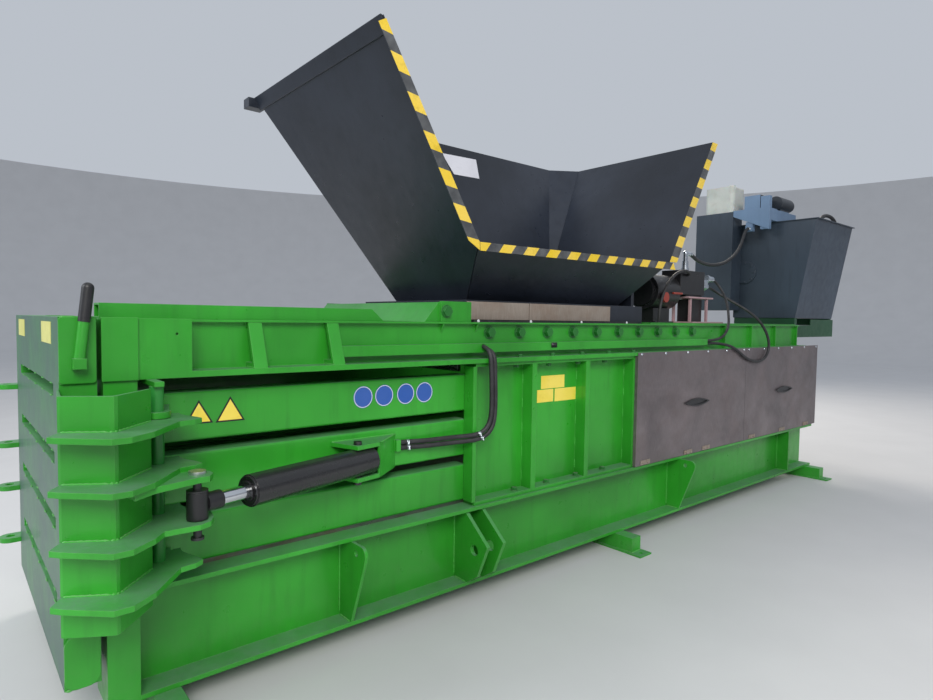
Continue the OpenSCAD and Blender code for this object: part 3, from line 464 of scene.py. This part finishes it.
loop = [[5110.5, 380, 1930], [5134, 380, 1930], [5166, 374, 1920], [5200, 356, 1900], [5232, 326, 1872], [5268, 272, 1832], [5306, 196, 1780], [5352, 116, 1724], [5408, 54, 1662], [5474, 14, 1588], [5530, -10, 1500], [5552, -23, 1410], [5536, -24, 1336], [5476, -24, 1280], [5390, -24, 1254], [5290, -24, 1250], [5180, -24, 1266], [5070, -24, 1300], [4980, -24, 1340], [4910, -24, 1369], [4840, -20, 1396], [4770, 2, 1414], [4700, 40, 1423], [4640, 70, 1425], [4600, 82, 1424.5], [4560.5, 86, 1424]]
arc = [[4560, 259.4, 2000], [4560, 246, 2000], [4557, 234, 2004], [4550, 230, 2009], [4526, 218, 2019], [4480, 212, 2028], [4420, 210, 2028], [4340, 212, 2008], [4264, 213, 1966], [4190, 214, 1900], [4138, 216, 1824], [4110, 219, 1746], [4102, 223, 1680], [4102, 225, 1636], [4102, 226, 1593.5]]
for nm, pts, d in (("gate_hose_upper", gate_a, 26), ("gate_hose_lower", gate_b, 26), ("feed_hose", feed, 32), ("drop_hose", drop, 22), ("loop_hose", loop, 24), ("arc_hose", arc, 24)):
    hose_piece(nm + "_look", pts, d, nm)


# weld beads: small rippled ridges along the seams
class Beads:
    def __init__(self):
        self.bm = bmesh.new()

    def run(self, a, b, r=0.0045, step=0.006, n=6):
        a, b = Vector(a), Vector(b)
        d = (b - a)
        L = d.length
        if L < 0.01:
            return
        d.normalize()
        s = d.cross(Vector((0, 0, 1)) if abs(d.z) < 0.9 else Vector((0, 1, 0))).normalized()
        t = d.cross(s)
        k = max(3, int(L / step))
        prev = None
        for i in range(k + 1):
            e = 0.25 if i in (0, k) else 1.0
            rr = r * e * (1 + 0.22 * math.sin(i * 2.1) + random.uniform(-0.1, 0.1))
            cpt = a + d * (L * i / k) + s * random.uniform(-0.0005, 0.0005)
            ring = [self.bm.verts.new(cpt + (s * math.cos(2 * math.pi * j / n) + t * math.sin(2 * math.pi * j / n)) * rr) for j in range(n)]
            if prev:
                for j in range(n):
                    self.bm.faces.new((prev[j], prev[(j + 1) % n], ring[(j + 1) % n], ring[j]))
            prev = ring

    def stitch(self, a, b, on=0.06, off=0.09, r=0.0045):
        a, b = Vector(a), Vector(b)
        L = (b - a).length
        d = (b - a) / L
        p = 0.03
        while p + on < L:
            self.run(a + d * p, a + d * (p + on), r)
            p += on + off


fr = Beads()
# rib roots on the side panel and stiffener roots on the base
for X in (2426, 2938, 3473):
    for dx in (0, 40):
        fr.stitch(W(X + dx, 103, 575), W(X + dx, 103, 1325))
fr.stitch(W(1976, 103, 575), W(1976, 103, 1325))
for X in (1168, 1184, 4100, 4116, 6122, 6138, 1900, 1922, 2019, 2041):
    fr.run(W(X, 111, 140), W(X, 111, 515), 0.005, 0.012)
    fr.run(W(X, 8, 131), W(X, 108, 131), 0.005, 0.012)
for X in (700, 760, 1074, 1134):
    fr.run(W(X, 4, 1379), W(X, 98, 1379), 0.005, 0.01)
for Zs in (565, 770, 825, 1030, 1080, 1285):
    fr.run(W(251, 99, Zs), W(251, 200, Zs), 0.005)
for z0 in (565, 825, 1080):
    fr.run(W(251, 99, z0 + 6), W(251, 99, z0 + 199), 0.005)
    fr.run(W(1967, 99, z0 + 6), W(1967, 99, z0 + 199), 0.005)
for X in (345, 3325, 6605):
    for dx in (-50, 50):
        fr.run(W(X + dx, -138, 13), W(X + dx, -4, 13), 0.005, 0.01)
    fr.run(W(X - 50, -142, 13), W(X + 50, -142, 13), 0.005, 0.01)
fr.run(W(1309, -36, 996), W(1482, 98, 996), 0.004)
for zz in (977, 997, 823, 843):
    fr.run(W(1115, 99, zz), W(1478, 99, zz), 0.0045)
weld_frame = mesh_piece("weld_beads_frame", fr.bm, M["green_flat"], "frame")

ga = Beads()
col = [(-26, -214), (100, -292), (114, -298), (126, -292), (262, -140)]
for za in (1194, 1214, 1023, 1043, 834, 854, 652, 672):
    for p, q2 in zip(col, col[1:]):
        ga.run(W(p[0], p[1], za), W(q2[0], q2[1], za), 0.005, 0.008)
for (z1, z2) in ((508, 554), (793, 839), (1042, 1088), (1295, 1341)):
    for zz in (z1, z2):
        ga.stitch(W(-0.5, 142, zz), W(-0.5, 1270, zz), 0.04, 0.2, 0.003)
for x1, z1, x2, z2 in ((2, 1351, 112, 1351), (2, 1587, 112, 1587), (2, 240, 70, 240), (2, 440, 112, 440)):
    ga.run(W(x1, -2, z1), W(x2, -2, z2), 0.005, 0.01)
weld_gate = mesh_piece("weld_beads_gate", ga.bm, M["green_flat"], "gate")


# ------------------------------------------------------------------ small parts
def lathe(bm, at, axis, profile, n=24):
    """Turn a profile of (along, radius) about an axis, closed at both ends."""
    d = Vector(axis).normalized()
    a = d.cross(Vector((0, 0, 1)) if abs(d.z) < 0.9 else Vector((0, 1, 0))).normalized()
    b = d.cross(a)
    rings = []
    for h, rad in profile:
        rings.append([bm.verts.new(at + d * h + (a * math.cos(2 * math.pi * k / n) + b * math.sin(2 * math.pi * k / n)) * rad) for k in range(n)])
    for p, q in zip(rings, rings[1:]):
        for k in range(n):
            bm.faces.new((p[k], p[(k + 1) % n], q[(k + 1) % n], q[k]))
    bm.faces.new(list(reversed(rings[0])))
    bm.faces.new(rings[-1])


def band(bm, at, axis, r, w=0.012, t=0.0016, n=28):
    """A clamp band round a hose, with its screw housing."""
    d = Vector(axis).normalized()
    a = d.cross(Vector((0, 0, 1)) if abs(d.z) < 0.9 else Vector((0, 1, 0))).normalized()
    b = d.cross(a)
    prof = [(-w / 2, r), (-w / 2, r + t * 0.7), (-w / 2 + 0.001, r + t), (w / 2 - 0.001, r + t), (w / 2, r + t * 0.7), (w / 2, r)]
    rings = [[bm.verts.new(at + d * h + (a * math.cos(2 * math.pi * k / n) + b * math.sin(2 * math.pi * k / n)) * q) for h, q in prof] for k in range(n)]
    m = len(prof)
    for k in range(n):
        for j in range(m):
            bm.faces.new((rings[k][j], rings[k][(j + 1) % m], rings[(k + 1) % n][(j + 1) % m], rings[(k + 1) % n][j]))
    lathe(bm, at + a * (r + 0.004) - b * 0.010, b, [(0, 0.003), (0.001, 0.0045), (0.016, 0.0045), (0.018, 0.0062), (0.022, 0.0062), (0.023, 0.004)], 10)


def slab(bm, x0, x1, y0, y1, z0, z1, r=0.002):
    """A small plate with eased edges, in millimetres."""
    q = bmesh.ops.create_cube(bm, size=1.0)["verts"]
    for v in q:
        v.co = W(x0 if v.co.x < 0 else x1, y0 if v.co.y < 0 else y1, z0 if v.co.z < 0 else z1)
    es = list({e for v in q for e in v.link_edges})
    bmesh.ops.bevel(bm, geom=es, offset=r, segments=2, affect="EDGES")


# silver clamps on the gate hoses
bm = bmesh.new()
band(bm, W(1548, 80.6, 951.3), (1, -0.17, 0), 0.0132, 0.016)
band(bm, W(1552, 80.2, 923.3), (1, -0.17, 0), 0.0132, 0.016)
band(bm, W(1978, -3, 960), (56, -14, 16), 0.0132, 0.016)
band(bm, W(1995, -3, 934), (70, -14, 20), 0.0132, 0.016)
for at, ax in ((W(4730, 330, 2196), (1, 0, 0)), (W(6424, 629, 2626), (1, 0, 0.24))):
    band(bm, at, ax, 0.0163, 0.014)
for at in (W(5071, 300, 1990), W(5122, 380, 1930)):
    band(bm, at, (1, 0, 0), 0.0123, 0.012)
mesh_piece("hose_clamps", bm, M["zinc_fitting"], "frame")

# plug in the duct, screws along the top of the covers, fixings of the black profile
bm = bmesh.new()
slab(bm, 2621, 2673, 43, 50.2, 1428, 1459)
slab(bm, 2629, 2665, 40, 43.5, 1435, 1452)
mesh_piece("duct_plug", bm, M["black_handle"], "frame")
bm = bmesh.new()
for x0, x1 in ((3490, 5140), (5144, 6745)):
    for k in range(6):
        X = x0 + 45 + (x1 - x0 - 90) * k / 5
        for Y, d in ((-5.2, -1), (1485.2, 1)):
            lathe(bm, W(X, Y, 1362), (0, d, 0), [(0, 0.011), (0.001, 0.0115), (0.002, 0.0085), (0.0045, 0.0080), (0.0062, 0.0062), (0.0068, 0.003)], 18)
mesh_piece("cover_screws", bm, M["zinc_fitting"], "frame")
bm = bmesh.new()
for X in (2060, 2498, 2990, 3504):
    lathe(bm, W(X, 111.8, 1588), (0, -1, 0), [(0, 0.010), (0.0015, 0.010), (0.0035, 0.008), (0.0045, 0.004)], 16)
mesh_piece("profile_rivets", bm, M["white_film"], "frame")

# bare tabs that hold the covers' lower edge
bm = bmesh.new()
for X in (3610, 4205, 4485, 5300, 5935, 6500):
    slab(bm, X - 62, X + 62, -9, -5.2, 552, 588)
    lathe(bm, W(X - 30, -9, 570), (0, -1, 0), [(0, 0.010), (0.005, 0.010), (0.006, 0.007)], 6)
    lathe(bm, W(X + 30, -9, 570), (0, -1, 0), [(0, 0.010), (0.005, 0.010), (0.006, 0.007)], 6)
mesh_piece("cover_tabs", bm, M["bare_strip"], "frame", False)

# thin bent pipe from the pump shelf to the tank lid
def tube(bm, pts, r, n=12):
    P = [Vector(q) for q in pts]
    prev = None
    side = None
    for i, q in enumerate(P):
        d = (P[min(i + 1, len(P) - 1)] - P[max(i - 1, 0)]).normalized()
        side = (side - d * side.dot(d)).normalized() if side else d.cross(Vector((0, 0, 1)) if abs(d.z) < 0.9 else Vector((0, 1, 0))).normalized()
        t = d.cross(side)
        ring = [bm.verts.new(q + (side * math.cos(2 * math.pi * k / n) + t * math.sin(2 * math.pi * k / n)) * r) for k in range(n)]
        if prev:
            for k in range(n):
                bm.faces.new((prev[k], prev[(k + 1) % n], ring[(k + 1) % n], ring[k]))
        else:
            bm.faces.new(list(reversed(ring)))
        prev = ring
    bm.faces.new(prev)


bm = bmesh.new()
arc_pts = [W(7330 + 40 * math.sin(math.radians(a)), 440, 2752 + 40 * math.cos(math.radians(a))) for a in range(0, 91, 10)]
tube(bm, [W(7150, 440, 2784), W(7200, 440, 2784), W(7250, 440, 2788), W(7300, 440, 2792)] + arc_pts + [W(7370, 440, 2730), W(7370, 440, 2708)], 0.008)
lathe(bm, W(7370, 440, 2708), (0, 0, 1), [(0, 0.018), (0.010, 0.018), (0.012, 0.013), (0.020, 0.012)], 6)
mesh_piece("breather_pipe", bm, M["zinc_fitting"], "frame")

# black return hose that rises from the lid and goes back into it
ret = [[7200 + 230 * (1 - math.cos(math.pi * k / 20)), 190, 2709 + 118 * math.sin(math.pi * k / 20) ** 0.8] for k in range(21)]
ret[0][0] += 1
hose_piece("return_hose", ret, 40, None)
bm = bmesh.new()
for X in (7201, 7660):
    lathe(bm, W(X, 190, 2708), (0, 0, 1), [(0, 0.034), (0.006, 0.034), (0.008, 0.027), (0.022, 0.026), (0.024, 0.022)], 28)
mesh_piece("return_flanges", bm, M["zinc_fitting"], "frame")

# ------------------------------------------------------------------ floor
bm = bmesh.new()
prof = [(0.0, 0.0), (8.0, 0.0), (16.0, 0.0), (24.0, 0.0)] + [(24 + 9 * math.sin(math.radians(a)), 9 - 9 * math.cos(math.radians(a))) for a in range(8, 89, 8)]
rings = []
for rad, zz in prof[1:]:
    rings.append([bm.verts.new((rad * math.cos(2 * math.pi * k / 96), rad * math.sin(2 * math.pi * k / 96), zz)) for k in range(96)])
c0 = bm.verts.new((0, 0, 0))
for k in range(96):
    bm.faces.new((c0, rings[0][k], rings[0][(k + 1) % 96]))
for p, q2 in zip(rings, rings[1:]):
    for k in range(96):
        bm.faces.new((p[k], q2[k], q2[(k + 1) % 96], p[(k + 1) % 96]))
me = bpy.data.meshes.new("floor")
bm.to_mesh(me)
bm.free()
for pl in me.polygons:
    pl.use_smooth = True
floor = bpy.data.objects.new("floor", me)
sc.collection.objects.link(floor)
g = G("floor")
me.materials.append(g.done(g.mix(g.ramp(g.noise(1.5, 5), 0.3, 0.7), (0.60, 0.60, 0.61), (0.63, 0.63, 0.64)), 0.85))
